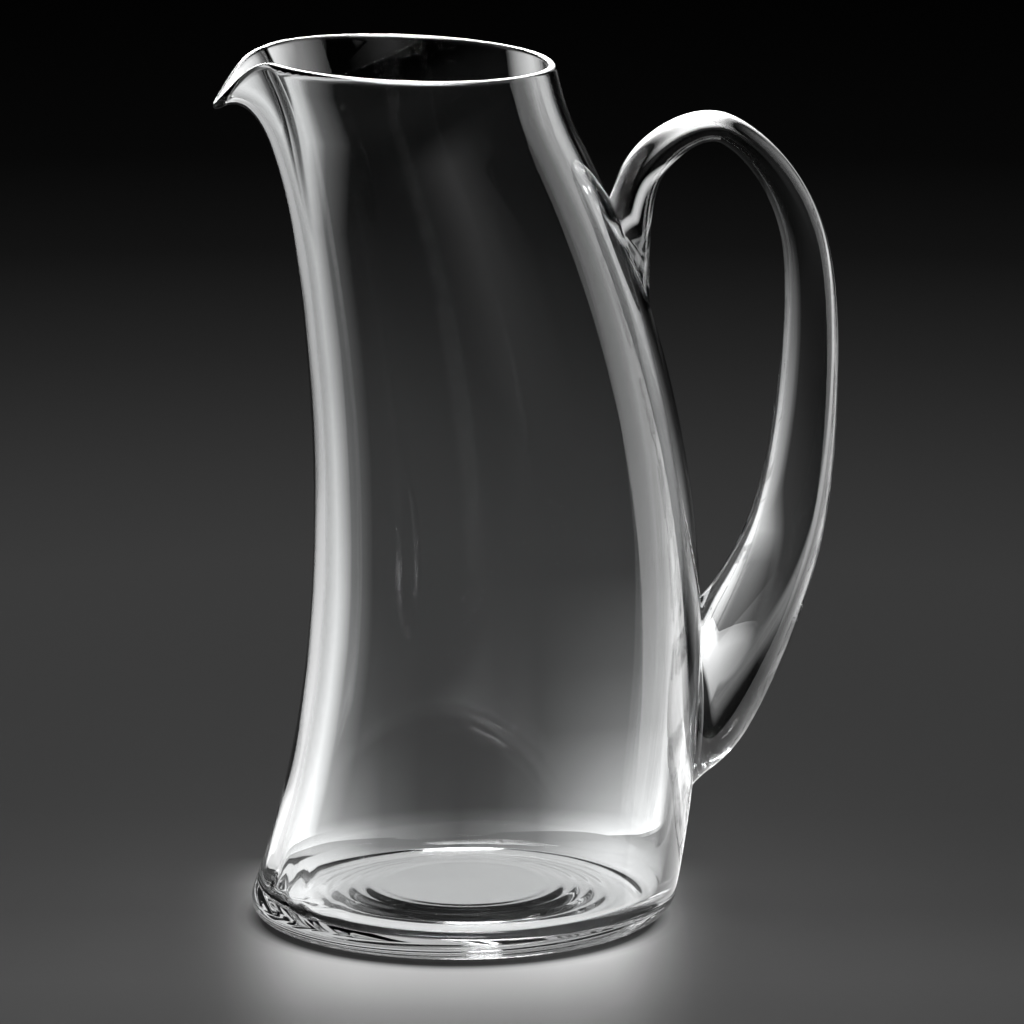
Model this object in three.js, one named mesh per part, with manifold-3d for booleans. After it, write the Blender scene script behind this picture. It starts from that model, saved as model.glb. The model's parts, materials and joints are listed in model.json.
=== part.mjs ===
// Hand-blown glass pitcher: a blown vessel with a pulled spout and a drawn handle sealed to its wall.
// Millimetres, +Z up. The spout points along -X and the handle along +X.
import * as THREE from 'three';
import { mergeVertices } from 'three/addons/utils/BufferGeometryUtils.js';
import Module from 'manifold-3d';

// Outside of the vessel: radius and lean are drawn towards these values on the way up
const vesselHeight = 255.5;
const footRadius = 63.2;
const lowerBellyRadius = 55.5;
const upperBellyRadius = 58;
const neckRadius = 38.8;
const lowerLean = 25.3;
const upperLean = 15;
const lipLean = -15.6;

// Foot: rounded heel, flat standing ring and shallow hollow underneath
const heelRadius = 6;
const standingRingWidth = 12;
const hollowDepth = 1;

// Glass thickness, and how far the middle of the floor is raised
const floorThickness = 3.8;
const floorKick = 2.5;
const wallAtFoot = 4.6;
const wallAtLip = 2.4;
const cavityCornerRadius = 7;

// Lip: flared all round and higher at the spout than at the handle
const lipFlare = 5.2;
const lipFlareHeight = 25;
const lipRise = 1.2;

// Spout: pulled out of the lip and turned down at its tip
const spoutHeight = 63;
const spoutReach = 10.6;
const spoutDroop = 15.6;
const spoutHalfAngle = THREE.MathUtils.degToRad(22.3);

// Handle stations: height above the table or drop below the lip, distance from the wall, thickness, width
const rootRise = 32;
const rootSink = 8.8;
const rootThickness = 4;
const rootWidth = 8;
const footRise = 61;
const footStandoff = 1.6;
const footThickness = 31.5;
const footWidth = 26;
const gripRise = 119;
const gripStandoff = 29.3;
const gripThickness = 21.9;
const gripWidth = 19;
const shoulderDrop = 59;
const fingerGap = 45;
const shoulderThickness = 13.6;
const shoulderWidth = 16;
const crownDrop = 23;
const crownStandoff = 43.8;
const crownThickness = 8.8;
const crownWidth = 14.5;
const fallDrop = 35;
const fallStandoff = 13;
const fallThickness = 11.9;
const fallWidth = 15.5;
const tailDrop = 76;
const tailSink = 7.5;
const tailThickness = 12.5;
const tailWidth = 13;

// Seal: the handle stands this far off the wall
const sealClearance = 0.3;

// Fineness of the faceted surfaces
const roundSegments = 72;
const bodyRows = 6;
const spoutRows = 10;
const cornerRows = 4;
const handleSides = 20;
const handleSteps = 40;

// How sharply the pull, the turn-down and the trough of the spout grow towards the tip
const pullPower = 2.2;
const turnPower = 7.5;
const troughPower = 1.8;

// How sharply the wall thins on the way up, and how closely its rows crowd towards the lip
const thinningPower = 1.5;
const crowdingPower = 1.7;

// Share of the spout's height over which the wall turns from level thickness to true thickness
const turningShare = 0.5;

const { clamp, smoothstep } = THREE.MathUtils;
const wasm = await Module();
wasm.setup();

// A value drawn along a cubic curve by four control values
function drawn(start, lower, upper, end, share) {
  const rest = 1 - share;
  return start * rest ** 3 + 3 * lower * rest ** 2 * share + 3 * upper * rest * share ** 2 + end * share ** 3;
}

function leanAt(height) {
  return drawn(0, lowerLean, upperLean, lipLean, height / vesselHeight);
}

function radiusAt(height) {
  const share = height / vesselHeight;
  const flareShare = clamp((height - vesselHeight + lipFlareHeight) / lipFlareHeight, 0, 1);
  const belly = drawn(footRadius, lowerBellyRadius, upperBellyRadius, neckRadius, share);
  return belly + lipFlare * flareShare ** 2;
}

function wallAt(height) {
  return wallAtLip + (wallAtFoot - wallAtLip) * (1 - height / vesselHeight) ** thinningPower;
}

function spoutShareAt(height) {
  return clamp((height - vesselHeight + spoutHeight) / spoutHeight, 0, 1);
}

// Point of the outer surface at an angle about the axis, with spout, droop and lip rise
function outerPoint(angle, height) {
  const share = spoutShareAt(height);
  const fromSpout = Math.abs(Math.PI - Math.abs(angle));
  const trough = smoothstep(1 - fromSpout / spoutHalfAngle, 0, 1);
  const radius = radiusAt(height) + spoutReach * trough * share ** pullPower;
  const rise = -lipRise * share ** 2 * Math.cos(angle);
  const droop = spoutDroop * trough ** troughPower * share ** turnPower;
  return new THREE.Vector3(
    leanAt(height) + radius * Math.cos(angle),
    radius * Math.sin(angle),
    height + rise - droop,
  );
}

// Outward normal of the outer surface
function outerNormal(angle, height) {
  const step = 0.001;
  const along = outerPoint(angle, height).sub(outerPoint(angle, height - step));
  const around = outerPoint(angle + step, height).sub(outerPoint(angle - step, height));
  return around.cross(along).normalize();
}

// Straight gather to blown shape: points lean with the axis, and near the lip the wall keeps its thickness
function blow(point) {
  const height = point.z;
  const radius = Math.hypot(point.x, point.y);
  const angle = Math.atan2(point.y, point.x);
  const outside = outerPoint(angle, height);
  const axis = new THREE.Vector3(leanAt(height), 0, height);
  const leaned = axis.clone().lerp(outside, radius / radiusAt(height));
  const share = spoutShareAt(height);
  if (share === 0) {
    return leaned;
  }
  const depth = radiusAt(height) - radius;
  const offset = outside.addScaledVector(outerNormal(angle, height), -depth);
  return leaned.lerp(offset, smoothstep(share, 0, turningShare));
}

function moveVertices(geometry, move) {
  const places = geometry.attributes.position;
  const point = new THREE.Vector3();
  for (let i = 0; i < places.count; i += 1) {
    point.fromBufferAttribute(places, i);
    const moved = move(point);
    places.setXYZ(i, moved.x, moved.y, moved.z);
  }
  return geometry;
}

// Closed geometry with shared corners and no collapsed triangles
function welded(geometry) {
  geometry.deleteAttribute('normal');
  geometry.deleteAttribute('uv');
  const merged = mergeVertices(geometry);
  const corners = Array.from(merged.index.array);
  const kept = [];
  for (let i = 0; i < corners.length; i += 3) {
    const [a, b, c] = corners.slice(i, i + 3);
    if (a !== b && b !== c && c !== a) {
      kept.push(a, b, c);
    }
  }
  merged.setIndex(kept);
  return merged;
}

function solidOf(geometry) {
  const vertProperties = new Float32Array(geometry.attributes.position.array);
  const triVerts = new Uint32Array(geometry.index.array);
  return new wasm.Manifold(new wasm.Mesh({ numProp: 3, vertProperties, triVerts }));
}

function geometryOf(solid) {
  const mesh = solid.getMesh();
  const geometry = new THREE.BufferGeometry();
  geometry.setAttribute('position', new THREE.BufferAttribute(new Float32Array(mesh.vertProperties), 3));
  geometry.setIndex(Array.from(mesh.triVerts));
  return geometry;
}

function revolve(profile) {
  const lathe = new THREE.LatheGeometry(profile, roundSegments);
  return welded(lathe.rotateX(Math.PI / 2));
}

// Heights of the wall rows from one height up to another, crowded towards the lip
function wallHeights(from, to) {
  const spoutStart = Math.max(vesselHeight - spoutHeight, from);
  const heights = [];
  for (let i = 0; i < bodyRows; i += 1) {
    heights.push(from + (spoutStart - from) * i / bodyRows);
  }
  for (let i = 0; i <= spoutRows; i += 1) {
    heights.push(to - (to - spoutStart) * (1 - i / spoutRows) ** crowdingPower);
  }
  return heights;
}

// Points of a rounded corner about a centre, from one angle to another
function corner(centreX, centreY, radius, from, to) {
  const points = [];
  for (let i = 0; i <= cornerRows; i += 1) {
    const angle = from + (to - from) * i / cornerRows;
    points.push(new THREE.Vector2(centreX + radius * Math.cos(angle), centreY + radius * Math.sin(angle)));
  }
  return points;
}

function makeVessel() {
  const quarter = Math.PI / 2;
  const ringOutside = radiusAt(heelRadius) - heelRadius;
  const ringInside = ringOutside - standingRingWidth;
  const cavityFloor = hollowDepth + floorThickness;
  const cornerTop = cavityFloor + cavityCornerRadius;
  const cavityRadius = radiusAt(cornerTop) - wallAt(cornerTop);
  const lipRadius = wallAtLip / 2;
  const lipCentre = vesselHeight - lipRadius;
  const profile = [];
  for (let i = 0; i <= cornerRows; i += 1) {
    const share = i / cornerRows;
    profile.push(new THREE.Vector2(ringInside * share, hollowDepth * Math.cos(quarter * share) ** 2));
  }
  profile.push(...corner(ringOutside, heelRadius, heelRadius, -quarter, 0));
  const heights = wallHeights(heelRadius, lipCentre);
  for (const height of heights.slice(1)) {
    profile.push(new THREE.Vector2(radiusAt(height), height));
  }
  const lipOutside = radiusAt(lipCentre);
  profile.push(...corner(lipOutside - lipRadius, lipCentre, lipRadius, 0, Math.PI).slice(1, -1));
  for (const height of wallHeights(cornerTop, lipCentre).reverse()) {
    profile.push(new THREE.Vector2(radiusAt(height) - wallAt(height), height));
  }
  const floorRadius = cavityRadius - cavityCornerRadius;
  profile.push(...corner(floorRadius, cornerTop, cavityCornerRadius, 0, -quarter).slice(1));
  for (let i = 1; i <= cornerRows; i += 1) {
    const share = i / cornerRows;
    const kick = floorKick * Math.sin(quarter * share) ** 2;
    profile.push(new THREE.Vector2(floorRadius * (1 - share), cavityFloor + kick));
  }
  return moveVertices(revolve(profile), blow);
}

// The vessel's outer surface with the seal clearance, as a solid that the handle is cut by
function makeSealCutter() {
  const top = vesselHeight - spoutDroop;
  const heights = wallHeights(heelRadius, vesselHeight - wallAtLip / 2).filter((height) => height < top);
  const profile = [new THREE.Vector2(0, heelRadius)];
  for (const height of heights) {
    profile.push(new THREE.Vector2(radiusAt(height) + sealClearance, height));
  }
  profile.push(new THREE.Vector2(0, heights.at(-1)));
  return moveVertices(revolve(profile), (point) => {
    const height = point.z;
    const angle = Math.atan2(point.y, point.x);
    const axis = new THREE.Vector3(leanAt(height), 0, height);
    return axis.lerp(outerPoint(angle, height), Math.hypot(point.x, point.y) / radiusAt(height));
  });
}

// Spine point of the handle at a height, a distance outside the wall on the handle's side
function station(height, standoff) {
  return new THREE.Vector3(outerPoint(0, height).x + standoff, 0, height);
}

function smoothCurve(points) {
  return new THREE.CatmullRomCurve3(points, false, 'catmullrom');
}

function makeHandle() {
  const spine = smoothCurve([
    station(rootRise, -rootSink),
    station(footRise, footStandoff),
    station(gripRise, gripStandoff),
    station(vesselHeight - shoulderDrop, fingerGap + shoulderThickness / 2),
    station(vesselHeight - crownDrop, crownStandoff),
    station(vesselHeight - fallDrop, fallStandoff),
    station(vesselHeight - tailDrop, -tailSink),
  ]);
  const section = smoothCurve([
    new THREE.Vector3(rootThickness / 2, rootWidth / 2, 0),
    new THREE.Vector3(footThickness / 2, footWidth / 2, 0),
    new THREE.Vector3(gripThickness / 2, gripWidth / 2, 0),
    new THREE.Vector3(shoulderThickness / 2, shoulderWidth / 2, 0),
    new THREE.Vector3(crownThickness / 2, crownWidth / 2, 0),
    new THREE.Vector3(fallThickness / 2, fallWidth / 2, 0),
    new THREE.Vector3(tailThickness / 2, tailWidth / 2, 0),
  ]);
  // A straight rod of unit radius and length, laid along the spine with the oval section of each place
  const rod = welded(new THREE.CylinderGeometry(1, 1, 1, handleSides, handleSteps).translate(0, 0.5, 0));
  moveVertices(rod, (point) => {
    const share = clamp(point.y, 0, 1);
    const along = spine.getTangent(share);
    const outward = new THREE.Vector3(along.z, 0, -along.x);
    const half = section.getPoint(share);
    const place = spine.getPoint(share).addScaledVector(outward, point.x * half.x);
    place.y -= point.z * half.y;
    return place;
  });
  return geometryOf(solidOf(rod).subtract(solidOf(makeSealCutter())));
}

function glassMesh(name, geometry, colour) {
  const material = new THREE.MeshStandardMaterial({
    color: colour,
    roughness: 0.04,
    metalness: 0,
    transparent: true,
    opacity: 0.35,
  });
  const mesh = new THREE.Mesh(geometry, material);
  mesh.name = name;
  return mesh;
}

const pieces = new THREE.Group();
pieces.add(glassMesh('vessel', makeVessel(), 0xdfe6e8));
pieces.add(glassMesh('handle', makeHandle(), 0xdbe4e8));

// The origin is on the table, under the middle of the whole pitcher
const extent = new THREE.Box3().setFromObject(pieces);
const middle = extent.getCenter(new THREE.Vector3());
pieces.position.set(-middle.x, -middle.y, -extent.min.z);

const pitcher = new THREE.Group();
pitcher.add(pieces);

export default pitcher;
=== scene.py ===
import json
import math

import bmesh
import bpy
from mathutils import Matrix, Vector, noise


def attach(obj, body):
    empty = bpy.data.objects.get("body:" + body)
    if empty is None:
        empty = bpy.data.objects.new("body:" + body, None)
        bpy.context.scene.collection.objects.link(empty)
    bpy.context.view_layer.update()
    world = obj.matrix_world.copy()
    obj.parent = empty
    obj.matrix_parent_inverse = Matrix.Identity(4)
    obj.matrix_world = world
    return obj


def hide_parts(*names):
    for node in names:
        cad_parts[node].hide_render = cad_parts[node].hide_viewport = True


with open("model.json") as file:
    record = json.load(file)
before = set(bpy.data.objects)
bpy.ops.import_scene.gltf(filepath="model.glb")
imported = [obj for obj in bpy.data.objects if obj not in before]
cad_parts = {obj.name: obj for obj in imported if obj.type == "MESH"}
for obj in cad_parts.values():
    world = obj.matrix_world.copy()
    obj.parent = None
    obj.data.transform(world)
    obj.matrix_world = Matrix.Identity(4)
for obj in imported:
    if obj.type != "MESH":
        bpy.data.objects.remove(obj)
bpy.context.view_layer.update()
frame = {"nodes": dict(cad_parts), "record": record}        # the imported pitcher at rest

standingRing = next(m for m in frame["record"]["mounts"] if m["name"] == "standing_ring")
axisX = standingRing["pos_m"][0]        # the foot's axis, off the middle of the whole pitcher
millimetre = 0.001
print("frame loaded:", sorted(frame["nodes"]))

scene = bpy.context.scene
scene.view_settings.view_transform = "Standard"
scene.cycles.max_bounces = 32
scene.cycles.transmission_bounces = 32
scene.cycles.glossy_bounces = 16
scene.cycles.transparent_max_bounces = 32

# camera in front of the spout and handle plane, a little towards the spout side and above the lip
camera = {
    "azimuth": -7.0,
    "elevation": 12.085,
    "distance": 2.608,
    "lookHeight": 0.130,
    "asideRight": 0.01593,
    "asideUp": -0.00940,
    "lens": 312.75,
    "sensor": 36,
    "clip": (0.05, 50),
}


def makeCamera():
    turn = math.radians(camera["azimuth"])
    tilt = math.radians(camera["elevation"])
    back = Vector((math.sin(turn) * math.cos(tilt), -math.cos(turn) * math.cos(tilt), math.sin(tilt)))
    right = Vector((math.cos(turn), math.sin(turn), 0))
    up = back.cross(right)
    target = Vector((axisX, 0, camera["lookHeight"]))
    place = target + back * camera["distance"]
    aim = target + right * camera["asideRight"] + up * camera["asideUp"]
    data = bpy.data.cameras.new("photoCamera")
    data.sensor_width = camera["sensor"]
    data.lens = camera["lens"]
    data.clip_start, data.clip_end = camera["clip"]
    holder = bpy.data.objects.new("photoCamera", data)
    holder.location = place
    holder.rotation_euler = (aim - place).to_track_quat("-Z", "Y").to_euler()
    scene.collection.objects.link(holder)
    scene.camera = holder


makeCamera()
print("camera set")

# blown vessel, millimetres
vessel = {
    "height": 255.5,
    "radii": (63.2, 55.5, 58.0, 38.8),        # foot, lower belly, upper belly, neck
    "leans": (0.0, 25.3, 15.0, -15.6),        # the same four places, towards the handle
    "heelRadius": 6.0,
    "ringWidth": 12.0,
    "ringRows": 5,
    "hollowDepth": 0.3,
    "hollowFlatness": 8,        # higher keeps the hollow flat further out
    "floorThickness": 4.5,
    "floorKick": 3.1,        # how far the middle of the floor is raised
    "kickStart": 0.03,        # shares of the way in from the floor's edge
    "kickEnd": 0.54,
    "wallAtFoot": 4.6,
    "wallAtLip": 2.4,
    "thinning": 1.5,
    "cornerRadius": 7.0,
    "lipFlare": 5.2,
    "lipFlareHeight": 25.0,
    "lipRise": 1.2,
    "spoutHeight": 63.0,
    "spoutReach": 10.6,
    "spoutDroop": 15.6,
    "spoutHalfAngle": math.radians(22.3),
    "pull": 2.2,
    "turnDown": 7.5,
    "trough": 1.8,
    "trueWallShare": 0.5,
    "segments": 216,
    "wallRows": 84,
    "rowsTowardsLip": 1.25,        # above 1 the rows crowd towards the lip
    "cornerRows": 20,
    "floorRows": 64,
    "ripple": 0.10,        # how far the inner wall wanders, as hot glass leaves it
    "rippleSize": 46.0,
    "rippleStart": 20.0,        # height above the floor at which it is full
    "rippleEnd": 1.6,        # how fast it dies out towards the spout
    "crumple": 0.6,        # folds left in the glass inside the heel below the spout
    "crumpleSize": 5.5,
    "crumpleAngle": math.radians(-158),
    "crumpleSpread": math.radians(34),
    "crumpleHeight": 15.0,
    "crumpleMiddle": 4.0,        # height above the floor
    "crumpleStart": 40.0,        # distance from the axis, and how far it takes to be full
    "crumpleFade": 10.0,
    "floorRings": 0.11,        # height of the rings that turning leaves in the floor
    "floorRingPitch": 4.6,
}


def clamp(value):
    return min(max(value, 0.0), 1.0)


def eased(share):
    share = clamp(share)
    return share * share * (3 - 2 * share)


def drawn(values, share):
    rest = 1 - share
    start, lower, upper, end = values
    early = start * rest ** 3 + 3 * lower * rest ** 2 * share
    return early + 3 * upper * rest * share ** 2 + end * share ** 3


def leanAt(height):
    return drawn(vessel["leans"], height / vessel["height"])


def radiusAt(height):
    flareShare = clamp((height - vessel["height"] + vessel["lipFlareHeight"]) / vessel["lipFlareHeight"])
    return drawn(vessel["radii"], height / vessel["height"]) + vessel["lipFlare"] * flareShare ** 2


def wallAt(height):
    gain = vessel["wallAtFoot"] - vessel["wallAtLip"]
    return vessel["wallAtLip"] + gain * (1 - height / vessel["height"]) ** vessel["thinning"]


def spoutShareAt(height):
    return clamp((height - vessel["height"] + vessel["spoutHeight"]) / vessel["spoutHeight"])


# outside of the glass at an angle about the leaning axis
def outerPoint(angle, height):
    share = spoutShareAt(height)
    fromSpout = abs(math.pi - abs(angle))
    trough = eased(1 - fromSpout / vessel["spoutHalfAngle"])
    radius = radiusAt(height) + vessel["spoutReach"] * trough * share ** vessel["pull"]
    rise = -vessel["lipRise"] * share ** 2 * math.cos(angle)
    droop = vessel["spoutDroop"] * trough ** vessel["trough"] * share ** vessel["turnDown"]
    x = leanAt(height) + radius * math.cos(angle)
    return Vector((x, radius * math.sin(angle), height + rise - droop))


def outerNormal(angle, height):
    step = 0.001
    along = outerPoint(angle, height) - outerPoint(angle, height - step)
    around = outerPoint(angle + step, height) - outerPoint(angle - step, height)
    return around.cross(along).normalized()


# straight gather to blown shape
def blow(point):
    height = point.z
    radius = math.hypot(point.x, point.y)
    angle = math.atan2(point.y, point.x)
    outside = outerPoint(angle, height)
    leaned = Vector((leanAt(height), 0, height)).lerp(outside, radius / radiusAt(height))
    share = spoutShareAt(height)
    if share == 0:
        return leaned
    offset = outside - outerNormal(angle, height) * (radiusAt(height) - radius)
    return leaned.lerp(offset, eased(share / vessel["trueWallShare"]))


def roundCorner(centreX, centreZ, radius, start, end, rows):
    points = []
    for i in range(rows + 1):
        angle = start + (end - start) * i / rows
        points.append((centreX + radius * math.cos(angle), centreZ + radius * math.sin(angle)))
    return points


def wallHeights(start, end):
    rows = vessel["wallRows"]
    crowding = vessel["rowsTowardsLip"]
    return [end - (end - start) * (1 - i / rows) ** crowding for i in range(rows + 1)]


# half section of the gather, from the middle of the underside round the lip to the middle of the floor
def vesselProfile():
    quarter = math.pi / 2
    rows = vessel["cornerRows"]
    ringOutside = radiusAt(vessel["heelRadius"]) - vessel["heelRadius"]
    ringInside = ringOutside - vessel["ringWidth"]
    floorHeight = vessel["hollowDepth"] + vessel["floorThickness"]
    cornerTop = floorHeight + vessel["cornerRadius"]
    cavityRadius = radiusAt(cornerTop) - wallAt(cornerTop)
    lipRadius = vessel["wallAtLip"] / 2
    lipHeight = vessel["height"] - lipRadius
    points = []
    for i in range(vessel["floorRows"]):
        share = i / vessel["floorRows"]
        hollow = vessel["hollowDepth"] * (1 - share ** vessel["hollowFlatness"])
        points.append((ringInside * share, hollow))
    for i in range(vessel["ringRows"]):
        points.append((ringInside + vessel["ringWidth"] * i / vessel["ringRows"], 0.0))
    points += roundCorner(ringOutside, vessel["heelRadius"], vessel["heelRadius"], -quarter, 0, rows)
    points += [(radiusAt(h), h) for h in wallHeights(vessel["heelRadius"], lipHeight)[1:]]
    points += roundCorner(radiusAt(lipHeight) - lipRadius, lipHeight, lipRadius, 0, math.pi, rows)[1:-1]
    points += [(radiusAt(h) - wallAt(h), h) for h in reversed(wallHeights(cornerTop, lipHeight))]
    inset = cavityRadius - vessel["cornerRadius"]
    points += roundCorner(inset, cornerTop, vessel["cornerRadius"], 0, -quarter, rows)[1:]
    for i in range(1, vessel["floorRows"] + 1):
        share = i / vessel["floorRows"]
        away = inset * (1 - share)
        rise = clamp((share - vessel["kickStart"]) / (vessel["kickEnd"] - vessel["kickStart"]))
        kick = vessel["floorKick"] * math.sin(quarter * rise) ** 2
        ring = vessel["floorRings"] * math.cos(2 * math.pi * away / vessel["floorRingPitch"])
        points.append((away, floorHeight + kick + ring * math.sin(math.pi * rise)))
    return points


def finishMesh(name, bm):
    bmesh.ops.recalc_face_normals(bm, faces=bm.faces)
    for face in bm.faces:
        face.smooth = True
    mesh = bpy.data.meshes.new(name)
    bm.to_mesh(mesh)
    bm.free()
    piece = bpy.data.objects.new(name, mesh)
    scene.collection.objects.link(piece)
    print(name, "has", len(mesh.vertices), "vertices and", len(mesh.polygons), "faces")
    return piece


# shift of one point of the gather where the glass is folded inside the heel
def crumpleAt(flat, floorHeight, inside):
    turn = math.remainder(math.atan2(flat.y, flat.x) - vessel["crumpleAngle"], 2 * math.pi)
    around = eased(1 - abs(turn) / vessel["crumpleSpread"])
    upward = eased(1 - abs(flat.z - floorHeight - vessel["crumpleMiddle"]) / vessel["crumpleHeight"])
    outward = eased((math.hypot(flat.x, flat.y) - vessel["crumpleStart"]) / vessel["crumpleFade"])
    amount = vessel["crumple"] * around * upward * outward
    if amount == 0 or inside < 0.5 or flat.z < floorHeight - 1:
        return Vector()
    spot = flat / vessel["crumpleSize"]
    apart = (Vector(), Vector((7, 0, 0)), Vector((0, 7, 0)))        # so x, y and z shift differently
    return Vector([noise.noise(spot + step) for step in apart]) * amount


def makeVessel():
    bm = bmesh.new()
    profile = vesselProfile()
    ring = [bm.verts.new((x, 0, z)) for x, z in profile]
    edges = [bm.edges.new(pair) for pair in zip(ring, ring[1:])]
    bmesh.ops.spin(
        bm, geom=ring + edges, cent=(0, 0, 0), axis=(0, 0, 1), dvec=(0, 0, 0),
        angle=2 * math.pi, steps=vessel["segments"], use_merge=True)
    bmesh.ops.remove_doubles(bm, verts=bm.verts, dist=1e-4)
    floorHeight = vessel["hollowDepth"] + vessel["floorThickness"]
    for vert in bm.verts:
        flat = vert.co.copy()
        inside = clamp((radiusAt(flat.z) - math.hypot(flat.x, flat.y)) / wallAt(flat.z))
        fadeIn = clamp((flat.z - floorHeight) / vessel["rippleStart"])
        fadeOut = 1 - eased(spoutShareAt(flat.z) * vessel["rippleEnd"])
        depthShare = inside * fadeIn * fadeOut
        vert.co = blow(flat)
        vert.co += crumpleAt(flat, floorHeight, inside)
        if depthShare > 0:
            sway = noise.noise(vert.co / vessel["rippleSize"]) * vessel["ripple"] * depthShare
            vert.co += Vector((flat.x, flat.y, 0)).normalized() * sway
    for vert in bm.verts:
        vert.co = vert.co * millimetre + Vector((axisX, 0, 0))
    return finishMesh("vessel_blown", bm)


vesselPiece = makeVessel()

# drawn handle, millimetres: height above the table, distance of its spine from the wall, thickness, width
handle = {
    "stations": (
        (32.0, -8.8, 4.0, 8.0),          # root
        (61.0, 1.6, 31.5, 26.0),         # foot
        (119.0, 29.3, 21.9, 19.0),       # grip
        (196.5, 51.8, 13.6, 16.0),       # shoulder
        (232.5, 43.8, 8.8, 14.5),        # crown
        (220.5, 13.0, 11.9, 15.5),       # fall
        (179.5, -7.5, 12.5, 13.0),       # tail
    ),
    "sides": 72,
    "steps": 260,
    "sealDepth": 0.5,         # how far the seal bites into the wall
    "sealFlare": 1.6,         # how far the hot bit spreads where it meets the wall
    "sealLength": 5.0,
    "sealSearch": 240,        # steps along the strap in which the seal is looked for
    "sealTries": 40,        # halvings that then place it
    "capRings": 8,
}


def smoothThrough(points, share):
    last = len(points) - 1
    at = min(int(share * last), last - 1)
    local = share * last - at
    before = points[at - 1] if at > 0 else [2 * a - b for a, b in zip(points[0], points[1])]
    after = points[at + 2] if at + 2 <= last else [2 * a - b for a, b in zip(points[last], points[last - 1])]
    result = []
    for p0, p1, p2, p3 in zip(before, points[at], points[at + 1], after):
        t0, t1 = (p2 - p0) / 2, (p3 - p1) / 2
        c2, c3 = -3 * p1 + 3 * p2 - 2 * t0 - t1, 2 * p1 - 2 * p2 + t0 + t1
        result.append(p1 + t0 * local + c2 * local ** 2 + c3 * local ** 3)
    return result


handleSpine = [(outerPoint(0, h).x + off, h) for h, off, thick, wide in handle["stations"]]
handleHalves = [(thick / 2, wide / 2) for h, off, thick, wide in handle["stations"]]


# surface of the drawn strap at a share of its length and an angle about its spine
def strapPoint(share, angle):
    step = 0.0005
    x, z = smoothThrough(handleSpine, share)
    ahead = smoothThrough(handleSpine, min(share + step, 1.0))
    behind = smoothThrough(handleSpine, max(share - step, 0.0))
    along = Vector((ahead[0] - behind[0], 0, ahead[1] - behind[1])).normalized()
    outward = Vector((along.z, 0, -along.x))
    halfThick, halfWide = smoothThrough(handleHalves, share)
    point = Vector((x, 0, z)) + outward * math.cos(angle) * halfThick
    point.y = math.sin(angle) * halfWide
    return point


# distance of a point outside the vessel's wall, negative inside
def offWall(point):
    height = min(max(point.z, 0.0), vessel["height"])
    slope = 0
    if height < vessel["height"] - 1.5:        # above this the lip turns over
        slope = outerPoint(0, height + 0.5).x - outerPoint(0, height - 0.5).x
    away = math.hypot(point.x - leanAt(height), point.y) - radiusAt(height)
    return away / math.sqrt(1 + slope * slope)


# share of the length at which one lengthwise line of the strap dives to the seal's depth
def sealShare(angle, inside, outside):
    for i in range(handle["sealTries"]):
        middle = (inside + outside) / 2
        if offWall(strapPoint(middle, angle)) < -handle["sealDepth"]:
            inside = middle
        else:
            outside = middle
    return outside


def firstOutside(angle, shares):
    for share, following in zip(shares, shares[1:]):
        if offWall(strapPoint(following, angle)) >= -handle["sealDepth"]:
            return sealShare(angle, share, following)
    return shares[0]


# point at the seal's depth under the wall, from an angle about the vessel and a height
def sealPoint(angle, height):
    return outerPoint(angle, height) - outerNormal(angle, height) * handle["sealDepth"]


def placeOnWall(point):
    return math.atan2(point.y, point.x - leanAt(point.z)), point.z


# one extrusion: its new vertices and its open edges
def extruded(bm, edges):
    made = bmesh.ops.extrude_edge_only(bm, edges=edges)["geom"]
    verts = [g for g in made if isinstance(g, bmesh.types.BMVert)]
    return verts, [g for g in made if isinstance(g, bmesh.types.BMEdge) and len(g.link_faces) == 1]


# vertices of a round loop by their angle about the upright axis
def inOrder(verts, sides):
    placed = {round(math.atan2(v.co.y, v.co.x) / (2 * math.pi) * sides) % sides: v for v in verts}
    return [placed[j] for j in range(sides)]


def makeHandle():
    sides, steps, search = handle["sides"], handle["steps"], handle["sealSearch"]
    angles = [2 * math.pi * j / sides for j in range(sides)]
    coarse = [i / search for i in range(search + 1)]
    starts = [firstOutside(a, coarse[:search // 2]) for a in angles]
    ends = [firstOutside(a, coarse[:search // 2:-1]) for a in angles]
    bm = bmesh.new()
    loop = bmesh.ops.create_circle(bm, cap_ends=False, segments=sides, radius=1.0)["verts"]
    rings = [inOrder(loop, sides)]
    edges = list(bm.edges)
    for k in range(steps):
        verts, edges = extruded(bm, edges)
        rings.append(inOrder(verts, sides))
    for k, ring in enumerate(rings):
        along = k / steps
        for j, vert in enumerate(ring):
            share = starts[j] + (ends[j] - starts[j]) * along
            vert.co = strapPoint(share, angles[j])
    flareRings(rings)
    for ring in (rings[0], rings[-1]):
        capSeal(bm, ring)
    for vert in bm.verts:
        vert.co = vert.co * millimetre + Vector((axisX, 0, 0))
    return finishMesh("handle_drawn", bm)


# the hot bit spreads a little along the wall where it is sealed
def flareRings(rings):
    for ring in rings:
        middle = sum((v.co for v in ring), Vector()) / len(ring)
        for vert in ring:
            near = clamp(1 - max(offWall(vert.co), 0) / handle["sealLength"])
            if near > 0:
                away = vert.co - middle
                angle, height = placeOnWall(vert.co)
                normal = outerNormal(angle, height)
                away -= normal * away.dot(normal)
                if away.length > 1e-6:
                    vert.co += away.normalized() * handle["sealFlare"] * near ** 2


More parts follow.
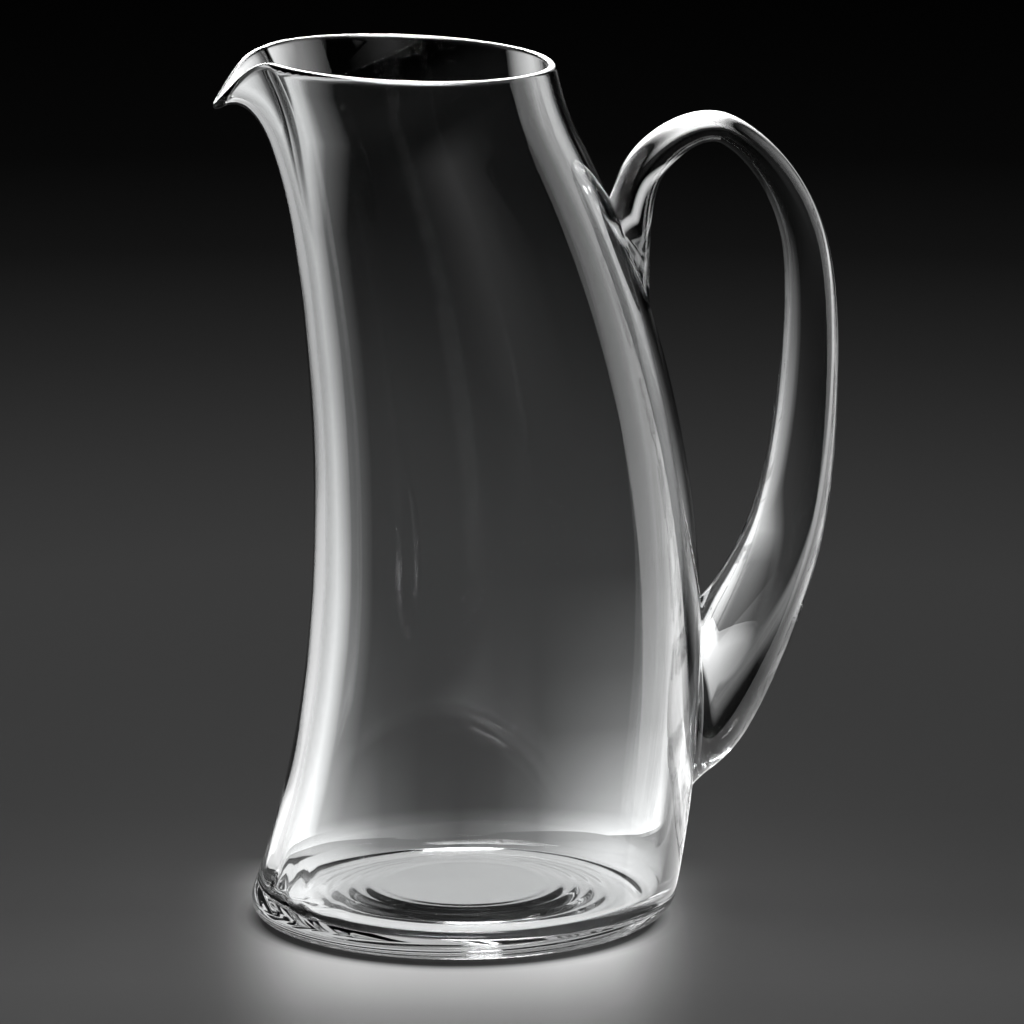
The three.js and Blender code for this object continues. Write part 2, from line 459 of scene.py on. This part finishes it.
# closes one end of the strap with rings that follow the wall
def capSeal(bm, ring):
    places = [placeOnWall(v.co) for v in ring]
    for vert, place in zip(ring, places):
        vert.co = sealPoint(*place)
    middleAngle = sum(p[0] for p in places) / len(places)
    middleHeight = sum(p[1] for p in places) / len(places)
    edges = [e for e in bm.edges if len(e.link_faces) == 1 and e.verts[0] in ring and e.verts[1] in ring]
    count = handle["capRings"]
    for i in range(1, count):
        verts, edges = extruded(bm, edges)
        share = 1 - i / count
        before = 1 - (i - 1) / count
        for vert in verts:
            angle, height = placeOnWall(vert.co)
            vert.co = sealPoint(
                middleAngle + (angle - middleAngle) * share / before,
                middleHeight + (height - middleHeight) * share / before)
    bmesh.ops.triangle_fill(bm, use_beauty=True, edges=edges)


handlePiece = makeHandle()


def addNode(tree, kind, place, **settings):
    node = tree.nodes.new(kind)
    node.location = place
    for key, value in settings.items():
        setattr(node, key, value)
    return node


# clear fire-polished glass
glass = {
    "ior": 1.5,
    "tints": ((0.99, 0.995, 0.996, 1), (0.98, 0.99, 0.993, 1)),
    "streakScale": 18.0,        # faint streaks of tint
    "streakDetail": 2.0,
    "roughness": (0.0, 0.012),
    "hazeScale": 60.0,        # where the polish is less than perfect
    "hazeDetail": 3.0,
    "hazeRange": (0.35, 0.75),
    "wave": 0.02,
    "waveScale": 22.0,
    "waveDetail": 1.0,
    "waveDepth": 0.01,
    "shadow": (0.97, 0.30),        # light let through, seen straight on and at the edge
    "shadowStart": 0.75,
    "shadowBlend": 0.5,
    "absorption": (0.93, 0.965, 0.975, 1),
    "absorptionDensity": 1.2,
}


def addNoise(tree, place, coords, scale, detail):
    node = addNode(tree, "ShaderNodeTexNoise", place)
    node.inputs["Scale"].default_value = scale
    node.inputs["Detail"].default_value = detail
    tree.links.new(coords.outputs["Object"], node.inputs["Vector"])
    return node.outputs["Fac"]


def makeGlass(name):
    material = bpy.data.materials.new(name)
    material.use_nodes = True
    tree = material.node_tree
    tree.nodes.clear()
    output = addNode(tree, "ShaderNodeOutputMaterial", (900, 0))
    body = addNode(tree, "ShaderNodeBsdfPrincipled", (300, 0))
    body.inputs["Transmission Weight"].default_value = 1.0
    body.inputs["IOR"].default_value = glass["ior"]
    coords = addNode(tree, "ShaderNodeTexCoord", (-900, 0))
    streaks = addNoise(tree, (-600, 200), coords, glass["streakScale"], glass["streakDetail"])
    tint = addNode(tree, "ShaderNodeValToRGB", (-300, 250))
    for element, colour in zip(tint.color_ramp.elements, glass["tints"]):
        element.color = colour
    tree.links.new(streaks, tint.inputs["Fac"])
    tree.links.new(tint.outputs["Color"], body.inputs["Base Color"])
    haze = addNoise(tree, (-600, -50), coords, glass["hazeScale"], glass["hazeDetail"])
    polish = addNode(tree, "ShaderNodeMapRange", (-300, -50))
    polish.inputs["From Min"].default_value = glass["hazeRange"][0]
    polish.inputs["From Max"].default_value = glass["hazeRange"][1]
    polish.inputs["To Min"].default_value = glass["roughness"][0]
    polish.inputs["To Max"].default_value = glass["roughness"][1]
    tree.links.new(haze, polish.inputs["Value"])
    tree.links.new(polish.outputs["Result"], body.inputs["Roughness"])
    wave = addNoise(tree, (-600, -300), coords, glass["waveScale"], glass["waveDetail"])
    bump = addNode(tree, "ShaderNodeBump", (0, -300))
    bump.inputs["Strength"].default_value = glass["wave"]
    bump.inputs["Distance"].default_value = glass["waveDepth"]
    tree.links.new(wave, bump.inputs["Height"])
    tree.links.new(bump.outputs["Normal"], body.inputs["Normal"])
    # shadow rays pass straight through, so the table under the glass isn't black
    clear = addNode(tree, "ShaderNodeBsdfTransparent", (300, 200))
    edge = addNode(tree, "ShaderNodeLayerWeight", (-300, 500))
    edge.inputs["Blend"].default_value = glass["shadowBlend"]
    shade = addNode(tree, "ShaderNodeValToRGB", (0, 500))
    for element, level in zip(shade.color_ramp.elements, glass["shadow"]):
        element.color = (level, level, level, 1)
    shade.color_ramp.elements[0].position = glass["shadowStart"]
    tree.links.new(edge.outputs["Facing"], shade.inputs["Fac"])
    tree.links.new(shade.outputs["Color"], clear.inputs["Color"])
    path = addNode(tree, "ShaderNodeLightPath", (300, 500))
    mix = addNode(tree, "ShaderNodeMixShader", (650, 100))
    tree.links.new(path.outputs["Is Shadow Ray"], mix.inputs[0])
    tree.links.new(body.outputs["BSDF"], mix.inputs[1])
    tree.links.new(clear.outputs["BSDF"], mix.inputs[2])
    tree.links.new(mix.outputs["Shader"], output.inputs["Surface"])
    depth = addNode(tree, "ShaderNodeVolumeAbsorption", (650, -200))
    depth.inputs["Color"].default_value = glass["absorption"]
    depth.inputs["Density"].default_value = glass["absorptionDensity"]
    tree.links.new(depth.outputs["Volume"], output.inputs["Volume"])
    return material


for piece, node, slotName in (
        (vesselPiece, "vessel", "vessel_glass"),
        (handlePiece, "handle", "handle_glass")):
    piece.data.materials.append(makeGlass(slotName))
    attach(piece, "root")
    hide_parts(node)
print("glass blown and sealed")

# faces of glass a ray has passed: more than the first number and fewer than the second
seenBy = {
    "reflection": (-0.5, 0.5),
    "anyGlass": (0.5, 99),
    "solid": (1.5, 2.5),        # through the handle or the heel alone
    "wallAndMore": (2.5, 99),
    "bothWalls": (3.5, 99),
}

# studio floor whose colour is painted to fall away into the dark, with a painted pool of light in front of
# the foot
studio = {
    "floorRadius": 6.0,
    "floorSides": 128,
    "floorGap": 0.0001,
    "floorRoughness": 0.9,
    "fall": (        # distance from the foot's axis, level
        (0.00, 0.057), (0.12, 0.0535), (0.20, 0.0495), (0.30, 0.047), (0.48, 0.0457), (0.62, 0.037),
        (0.85, 0.021), (1.07, 0.0086), (1.30, 0.0035), (1.90, 0.0010), (2.40, 0.0008)),
    # painted light: the floor's colour is made lighter before the foot
    "frontLift": ((-0.12, 1.0), (0.0, 1.15), (0.08, 1.55), (0.2, 1.7)),        # lighter before the foot
    "poolTurn": -7.0,        # degrees, the pool lies towards the camera
    "poolAcross": ((0.0, 1.15), (0.03, 1.0), (0.045, 0.8), (0.056, 0.3), (0.068, 0.02), (0.085, 0.0)),
    "poolDepth": (        # distance in front of the foot's axis, level
        (-0.062, 0.0), (-0.030, 0.60), (0.05, 0.55), (0.075, 0.42), (0.11, 0.22), (0.147, 0.095),
        (0.22, 0.0)),
    # shade under the foot, a little towards the front
    "contact": ((0.0, 0.04), (0.056, 0.03), (0.0585, 0.06), (0.0605, 0.4), (0.063, 0.85), (0.066, 1.0)),
    "contactShift": 0.005,
    # glow seen through the foot, and inside heelStart only through wall and floor
    "underGlass": ((0.0, 0.9), (0.052, 0.9), (0.056, 0.7), (0.0595, 0.0)),
    "heelStart": 0.046,
    # glow seen through the wall above it, at the sides
    "besideGlass": ((0.050, 0.0), (0.062, 0.8), (0.085, 0.6), (0.12, 0.0)),
    "besideAcross": ((0.0, 0.08), (0.025, 0.25), (0.05, 1.0)),
    "reflections": 0.5,        # below 1, light that was reflected on its way doesn't see the glow
    "dark": 0.001,
}


def addRamp(tree, place, stops, source, smooth=False):
    start, end = stops[0][0], stops[-1][0]
    spread = addNode(tree, "ShaderNodeMapRange", place)
    spread.inputs["From Min"].default_value = start
    spread.inputs["From Max"].default_value = end
    tree.links.new(source, spread.inputs["Value"])
    ramp = addNode(tree, "ShaderNodeValToRGB", (place[0] + 200, place[1]))
    ramp.color_ramp.interpolation = "B_SPLINE" if smooth else "LINEAR"
    elements = ramp.color_ramp.elements
    while len(elements) < len(stops):
        elements.new(0.5)
    for element, (at, level) in zip(elements, stops):
        element.position = (at - start) / (end - start)
        element.color = (level, level, level, 1)
    tree.links.new(spread.outputs["Result"], ramp.inputs["Fac"])
    return ramp.outputs["Color"]


def addMath(tree, place, operation, first, second):
    node = addNode(tree, "ShaderNodeMath", place, operation=operation)
    for socket, value in zip(node.inputs, (first, second)):
        if isinstance(value, bpy.types.NodeSocket):
            tree.links.new(value, socket)
        else:
            socket.default_value = value
    return node.outputs["Value"]


def makeFloor():
    bm = bmesh.new()
    bmesh.ops.create_circle(bm, cap_ends=True, segments=studio["floorSides"], radius=studio["floorRadius"])
    bmesh.ops.translate(bm, verts=bm.verts, vec=(0, 0, -studio["floorGap"]))
    mesh = bpy.data.meshes.new("floor")
    bm.to_mesh(mesh)
    bm.free()
    floor = bpy.data.objects.new("floor", mesh)
    scene.collection.objects.link(floor)
    material = bpy.data.materials.new("studio_floor")
    material.use_nodes = True
    tree = material.node_tree
    body = tree.nodes["Principled BSDF"]
    body.inputs["Roughness"].default_value = studio["floorRoughness"]
    body.inputs["Specular IOR Level"].default_value = 0.0
    coords = addNode(tree, "ShaderNodeTexCoord", (-1400, 0))
    shift = addNode(tree, "ShaderNodeMapping", (-1200, 0))
    turn = math.radians(studio["poolTurn"])
    shift.inputs["Location"].default_value = (-axisX * math.cos(turn), axisX * math.sin(turn), 0)
    shift.inputs["Rotation"].default_value = (0, 0, -turn)
    tree.links.new(coords.outputs["Object"], shift.inputs["Vector"])
    away = addNode(tree, "ShaderNodeVectorMath", (-1000, 200), operation="LENGTH")
    tree.links.new(shift.outputs["Vector"], away.inputs[0])
    fall = addRamp(tree, (-800, 200), studio["fall"], away.outputs["Value"])
    split = addNode(tree, "ShaderNodeSeparateXYZ", (-1000, -100))
    tree.links.new(shift.outputs["Vector"], split.inputs["Vector"])
    aside = addMath(tree, (-800, -100), "ABSOLUTE", split.outputs["X"], 0.0)
    across = addRamp(tree, (-600, -100), studio["poolAcross"], aside, True)
    forward = addMath(tree, (-800, -400), "MULTIPLY", split.outputs["Y"], -1.0)
    depth = addRamp(tree, (-600, -400), studio["poolDepth"], forward)
    pool = addMath(tree, (-200, -200), "MULTIPLY", across, depth)
    lift = addRamp(tree, (-600, 800), studio["frontLift"], forward)
    fall = addMath(tree, (-200, 300), "MULTIPLY", fall, lift)
    nearer = addNode(tree, "ShaderNodeVectorMath", (-1000, 500), operation="ADD")
    nearer.inputs[1].default_value = (0, studio["contactShift"], 0)
    tree.links.new(shift.outputs["Vector"], nearer.inputs[0])
    nearness = addNode(tree, "ShaderNodeVectorMath", (-800, 500), operation="LENGTH")
    tree.links.new(nearer.outputs["Vector"], nearness.inputs[0])
    contact = addRamp(tree, (-600, 500), studio["contact"], nearness.outputs["Value"])
    # painted light and shade in the floor's colour: the fall into the dark, the pool of light before the
    # foot and the painted shade under its edge
    level = addMath(tree, (-100, 0), "ADD", fall, pool)
    level = addMath(tree, (0, 0), "MULTIPLY", level, contact)
    tree.links.new(level, body.inputs["Base Color"])
    # painted light: the floor glows, but only where it is seen through the glass
    path = addNode(tree, "ShaderNodeLightPath", (-600, -900))
    passed = path.outputs["Transmission Depth"]
    direct = addMath(tree, (-400, -1000), "LESS_THAN", path.outputs["Glossy Depth"], studio["reflections"])
    through = addMath(tree, (-600, -700), "GREATER_THAN", passed, seenBy["anyGlass"][0])
    deep = addMath(tree, (-600, -600), "GREATER_THAN", passed, seenBy["wallAndMore"][0])
    heel = addMath(tree, (-600, -800), "GREATER_THAN", away.outputs["Value"], studio["heelStart"])
    heel = addMath(tree, (-500, -800), "MULTIPLY", heel, through)
    seen = addMath(tree, (-500, -700), "MAXIMUM", heel, deep)
    under = addRamp(tree, (-800, -700), studio["underGlass"], away.outputs["Value"])
    under = addMath(tree, (-400, -700), "MULTIPLY", under, seen)
    beside = addRamp(tree, (-800, -1100), studio["besideGlass"], away.outputs["Value"])
    besideAcross = addRamp(tree, (-800, -1400), studio["besideAcross"], aside)
    sides = addMath(tree, (-400, -1200), "MULTIPLY", beside, besideAcross)
    sides = addMath(tree, (-300, -1200), "MULTIPLY", sides, through)
    glow = addMath(tree, (-300, -700), "ADD", under, sides)
    glow = addMath(tree, (-200, -700), "MULTIPLY", glow, direct)
    body.inputs["Emission Color"].default_value = (1, 1, 1, 1)
    tree.links.new(glow, body.inputs["Emission Strength"])
    mesh.materials.append(material)


makeFloor()

world = bpy.data.worlds.new("studio")
scene.world = world
world.use_nodes = True
world.node_tree.nodes["Background"].inputs["Color"].default_value = (studio["dark"],) * 3 + (1,)

# the soft overhead panel lights floor and glass alike
overhead = {"place": (-0.15, 0.55, 1.9), "size": 0.9, "power": 36.0}


def makeOverhead():
    data = bpy.data.lights.new("overhead", "AREA")
    data.size = overhead["size"]
    data.energy = overhead["power"]
    lamp = bpy.data.objects.new("overhead", data)
    lamp.location = overhead["place"]
    aim = Vector((axisX, 0, 0)) - lamp.location
    lamp.rotation_euler = aim.to_track_quat("-Z", "Y").to_euler()
    lamp.visible_camera = False
    scene.collection.objects.link(lamp)


makeOverhead()


# x of the vessel's outline at a height, in metres: side -1 towards the spout, 1 towards the handle
def outlineAt(height, side):
    level = min(max(height / millimetre, 0.0), vessel["height"])
    return (leanAt(level) + side * radiusAt(level)) * millimetre + axisX


def between(start, end, share):
    return start + (end - start) * share


# follows the outline on the spout's side, and keeps further in at the throat
def alongSpoutSide(values, across, up):
    height = values["top"] * up
    throat = values["throat"] * eased((height - values["throatStart"]) / values["throatRise"])
    edge = outlineAt(height + values["drop"], -1) + values["inset"] + throat
    return Vector((edge - values["width"] * across, values["away"], height))


# follows the outline on the handle's side
def alongHandleSide(values, across, up):
    height = values["top"] * up
    aside = between(values["start"], values["end"], across)
    return Vector((outlineAt(height + values["drop"], 1) + aside, values["away"], height))


def upright(values, across, up):
    x = between(values["start"], values["end"], across)
    return Vector((x, values["away"], between(values["bottom"], values["top"], up)))


# runs out along the floor, then up
def sweep(values, across, up):
    out = clamp(up / values["floorShare"])
    rise = clamp((up - values["floorShare"]) / (1 - values["floorShare"]))
    x = between(values["near"], values["far"], out)
    front = values["front"] - values["slant"] * (x - values["near"])
    return Vector((x, between(front, values["back"], across), millimetre + values["top"] * rise))


# from above the camera, over the glass and down behind it
def arch(values, across, up):
    turn = math.radians(between(values["start"], values["end"], up))
    x = axisX + values["half"] * (2 * across - 1)
    height = values["middle"] + values["radius"] * math.sin(turn)
    return Vector((x, -values["radius"] * math.cos(turn), height))


# lies on the table behind the handle, on one side of a bent line
def onTable(values, across, up):
    away = between(values["near"], values["far"], up)
    further = away - footLine["from"]
    edge = footLine["x"] + footLine["slant"] * further + footLine["bend"] * further ** 2
    return Vector((edge + values["width"] * across, away, values["height"]))


# line on the table between the light and the dark that the handle's foot shows
footLine = {"x": 0.126, "slant": -0.06, "bend": -0.95, "from": 0.12}

# cards round the glass: they show only in it, as soft boxes do that stand out of the picture
# a glow of 0 makes a dark flag, and the ramps across and up give the level at shares of the card
cardRows = 24
cards = {
    "left": {
        "place": alongSpoutSide, "away": 0.10, "inset": 0.023, "width": 0.25, "top": 0.34, "drop": 0.03,
        "throat": 0.008, "throatStart": 0.185, "throatRise": 0.03, "glow": 0.62, "seenBy": "anyGlass",
        "across": ((0.0, 0.0), (0.044, 0.18), (0.088, 1.15), (0.132, 0.9), (0.5, 0.65), (1.0, 0.6)),
        "up": ((0.0, 1.9), (0.15, 1.6), (0.4, 1.0), (0.6, 1.0), (0.7, 1.5), (1.0, 2.2)),
    },
    "strip": {
        "place": alongHandleSide, "away": 0.066, "start": 0.004, "end": 0.034, "top": 0.27, "drop": 0.014,
        "glow": 0.35, "seenBy": "bothWalls",
        "across": ((0.0, 0.0), (0.3, 0.5), (0.6, 1.0), (0.8, 0.9), (1.0, 0.3)),
        "up": ((0.0, 2.6), (0.2, 1.8), (0.35, 1.1), (0.5, 1.1), (0.65, 2.4), (0.8, 2.6), (1.0, 2.0)),
    },
    "hem": {
        "place": alongHandleSide, "away": 0.066, "start": -0.004, "end": 0.014, "top": 0.27, "drop": 0.014,
        "glow": 0.30, "seenBy": "solid",
        "across": ((0.0, 0.0), (0.25, 0.6), (0.5, 1.0), (0.8, 0.9), (1.0, 0.1)),
        "up": ((0.0, 0.1), (0.25, 0.15), (0.35, 0.8), (0.5, 1.1), (0.65, 2.0), (1.0, 2.2)),
    },
    "low": {
        "place": upright, "away": 0.070, "start": axisX - 0.0814, "end": axisX + 0.0986,
        "bottom": 0.0, "top": 0.085, "glow": 1.0, "seenBy": "anyGlass",
        "across": (
            (0.0, 2.2), (0.14, 2.0), (0.22, 1.4), (0.29, 0.8), (0.36, 0.25), (0.43, 0.06), (0.5, 0.02),
            (0.57, 0.06), (0.64, 0.25), (0.71, 0.8), (0.78, 1.4), (0.86, 2.0), (1.0, 2.2)),
        "up": ((0.0, 0.5), (0.2, 0.28), (0.42, 0.10), (0.65, 0.04), (1.0, 0.0)),
    },
    "edge": {
        "place": sweep, "near": 0.055, "far": 0.25, "front": 0.03, "slant": 0.0, "back": 0.40,
        "top": 0.24, "floorShare": 0.4, "glow": 1.3, "seenBy": "solid",
        "across": ((0.0, 0.0), (0.1, 1.0), (0.28, 1.0), (0.42, 0.5), (0.6, 0.3), (0.8, 0.1), (1.0, 0.0)),
        "up": (
            (0.0, 0.0), (0.05, 0.25), (0.1, 0.6), (0.2, 1.0), (0.4, 1.0), (0.5, 0.7), (0.65, 0.3),
            (0.8, 0.08), (1.0, 0.03)),
    },
    "right": {
        "place": sweep, "near": 0.05, "far": 0.25, "front": -0.048, "slant": 0.176, "back": 0.16,
        "top": 0.45, "floorShare": 0.3, "glow": 4.2, "seenBy": "reflection",
        "across": ((0.0, 0.6), (0.2, 0.7), (0.4, 1.0), (0.55, 1.2), (0.75, 1.0), (1.0, 0.0)),
        "up": (
            (0.0, 0.35), (0.2, 0.4), (0.35, 1.0), (0.45, 0.85), (0.525, 0.65), (0.735, 0.37),
            (0.845, 0.25), (1.0, 0.0)),
    },
    "front": {
        "place": upright, "away": -1.0, "start": axisX - 1.03, "end": axisX + 1.17,
        "bottom": 0.12, "top": 0.55, "glow": 0.55, "seenBy": "reflection",
        "across": ((0.0, 0.0), (0.25, 0.25), (0.5, 1.0), (0.75, 0.25), (1.0, 0.0)),
        "up": ((0.0, 0.0), (0.6, 1.0), (1.0, 1.0)),
    },
    "sky": {
        "place": arch, "radius": 1.2, "middle": 0.15, "half": 0.9, "start": 22.0, "end": 176.0,
        "glow": 25.0, "seenBy": "reflection",
        "across": ((0.0, 0.0), (0.15, 0.3), (0.35, 1.0), (0.65, 1.0), (0.85, 0.3), (1.0, 0.0)),
        "up": ((0.0, 0.0), (0.2, 1.0), (0.8, 1.0), (1.0, 0.0)),
    },
    "flag": {
        "place": upright, "away": 0.30, "start": -0.12, "end": 0.36, "bottom": 0.0, "top": 0.30,
        "glow": 0, "seenBy": "solid",
        "across": ((0.0, 0.75), (0.35, 0.6), (0.7, 0.15), (1.0, 0.0)),
        "up": ((0.0, 0.0), (0.15, 0.3), (0.3, 1.0), (1.0, 1.0)),
    },
    "heel": {
        "place": upright, "away": 0.066, "start": axisX - 0.058, "end": axisX + 0.058,
        "bottom": 0.0, "top": 0.03, "glow": 0.6, "seenBy": "solid",
        "across": ((0.0, 0.0), (0.25, 0.3), (0.5, 1.0), (0.75, 0.3), (1.0, 0.0)),
        "up": ((0.0, 1.0), (0.5, 1.0), (1.0, 0.0)),
    },
    "shade": {
        "place": upright, "away": 0.065, "start": 0.018, "end": 0.058, "bottom": 0.037, "top": 0.080,
        "glow": 0, "seenBy": "solid",
        "across": ((0.0, 0.0), (0.1, 0.95), (0.85, 0.95), (1.0, 0.0)),
        "up": ((0.0, 0.0), (0.12, 1.0), (0.7, 1.0), (1.0, 0.0)),
    },
    # dark flag: painted shade seen through the wall where the handle is sealed
    "weldShade": {
        "place": upright, "away": 0.045, "start": 0.057, "end": 0.13, "bottom": 0.001, "top": 0.090,
        "glow": 0, "seenBy": "wallAndMore",
        "across": ((0.0, 0.0), (0.1, 0.9), (0.9, 0.9), (1.0, 0.0)),
        "up": ((0.0, 0.9), (0.8, 0.9), (1.0, 0.0)),
    },
    "wedge": {
        "place": onTable, "width": -0.14, "near": 0.09, "far": 0.42, "height": 0.003,
        "glow": 0.85, "seenBy": "solid",
        "across": ((0.0, 0.0), (0.04, 1.0), (0.6, 1.0), (1.0, 0.0)),
        "up": ((0.0, 1.0), (0.15, 0.9), (0.3, 0.5), (0.45, 0.33), (0.6, 0.25), (0.75, 0.18), (1.0, 0.0)),
    },
    # dark flag on the table: painted shade in the handle's core, seen through the handle
    "coreShade": {
        "place": onTable, "width": 0.09, "near": 0.09, "far": 0.36, "height": 0.004,
        "glow": 0, "seenBy": "solid",
        "across": ((0.0, 0.7), (0.5, 0.6), (1.0, 0.0)),
        "up": ((0.0, 0.0), (0.3, 1.0), (0.8, 1.0), (1.0, 0.0)),
    },
}


def makeCard(name, values):
    least, most = seenBy[values["seenBy"]]
    bm = bmesh.new()
    bm.loops.layers.uv.new("across")
    bmesh.ops.create_grid(bm, x_segments=cardRows, y_segments=cardRows, size=0.5, calc_uvs=True)
    for vert in bm.verts:
        vert.co = values["place"](values, vert.co.x + 0.5, vert.co.y + 0.5)
    mesh = bpy.data.meshes.new(name)
    bm.to_mesh(mesh)
    bm.free()
    card = bpy.data.objects.new(name, mesh)
    scene.collection.objects.link(card)
    material = bpy.data.materials.new(name)
    material.use_nodes = True
    tree = material.node_tree
    tree.nodes.clear()
    output = addNode(tree, "ShaderNodeOutputMaterial", (600, 0))
    shine = addNode(tree, "ShaderNodeEmission", (200, 0))
    shine.inputs["Strength"].default_value = values["glow"]
    coords = addNode(tree, "ShaderNodeTexCoord", (-800, 0))
    split = addNode(tree, "ShaderNodeSeparateXYZ", (-600, 0))
    tree.links.new(coords.outputs["UV"], split.inputs["Vector"])
    across = addRamp(tree, (-400, 0), values["across"], split.outputs["X"])
    upward = addRamp(tree, (-400, -300), values["up"], split.outputs["Y"])
    path = addNode(tree, "ShaderNodeLightPath", (-400, 400))
    passed = path.outputs["Transmission Depth"]
    enough = addMath(tree, (-200, 400), "GREATER_THAN", passed, least)
    few = addMath(tree, (-200, 600), "LESS_THAN", passed, most)
    seen = addMath(tree, (0, 400), "MULTIPLY", enough, few)
    level = addMath(tree, (0, -200), "MULTIPLY", across, upward)
    level = addMath(tree, (0, 0), "MULTIPLY", level, seen)
    tree.links.new(level, shine.inputs["Color"])
    clear = addNode(tree, "ShaderNodeBsdfTransparent", (200, -200))
    if values["glow"] == 0:        # a dark flag takes light away instead
        tree.links.new(addMath(tree, (0, -400), "SUBTRACT", 1.0, level), clear.inputs["Color"])
    both = addNode(tree, "ShaderNodeAddShader", (400, 0))
    tree.links.new(shine.outputs["Emission"], both.inputs[0])
    tree.links.new(clear.outputs["BSDF"], both.inputs[1])
    tree.links.new(both.outputs["Shader"], output.inputs["Surface"])
    mesh.materials.append(material)
    card.visible_camera = False
    card.visible_diffuse = False
    card.visible_shadow = False


for name, values in cards.items():
    makeCard(name + "_card", values)
print("studio lit")
